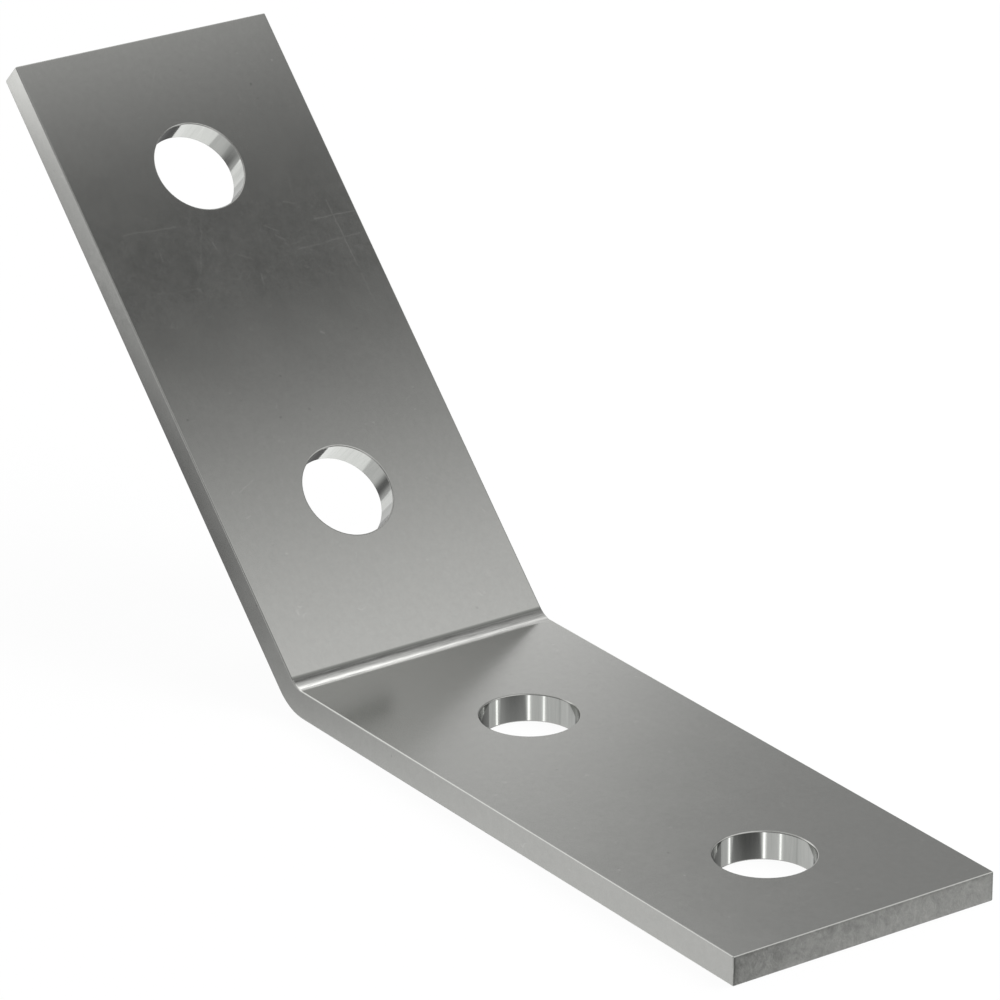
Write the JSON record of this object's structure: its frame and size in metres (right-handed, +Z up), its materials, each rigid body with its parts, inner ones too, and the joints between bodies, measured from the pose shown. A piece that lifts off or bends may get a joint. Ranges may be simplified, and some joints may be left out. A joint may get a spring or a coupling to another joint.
{
  "type": "angle bracket",
  "caption": "Obtuse steel angle bracket for framing channel: a flat bar folded to 135 degrees between its legs, with bolt holes along the middle of each leg.",
  "frame": {"origin": "on the underside of the lower leg, on the bar's centre line, midway between that leg's two bolt holes", "axes": "+X along the lower leg to its free end, away from the fold; +Y across the bar; +Z up through the lower leg's holes, on the side to which the upper leg rises"},
  "size_m": [0.1639, 0.04, 0.0707],
  "materials": {
    "steel": "plain satin cold-rolled flat bar, bare metal, with cut ends and punched holes"
  },
  "bodies": {
    "root": {"angle_bracket": "steel"}
  },
  "joints": []
}
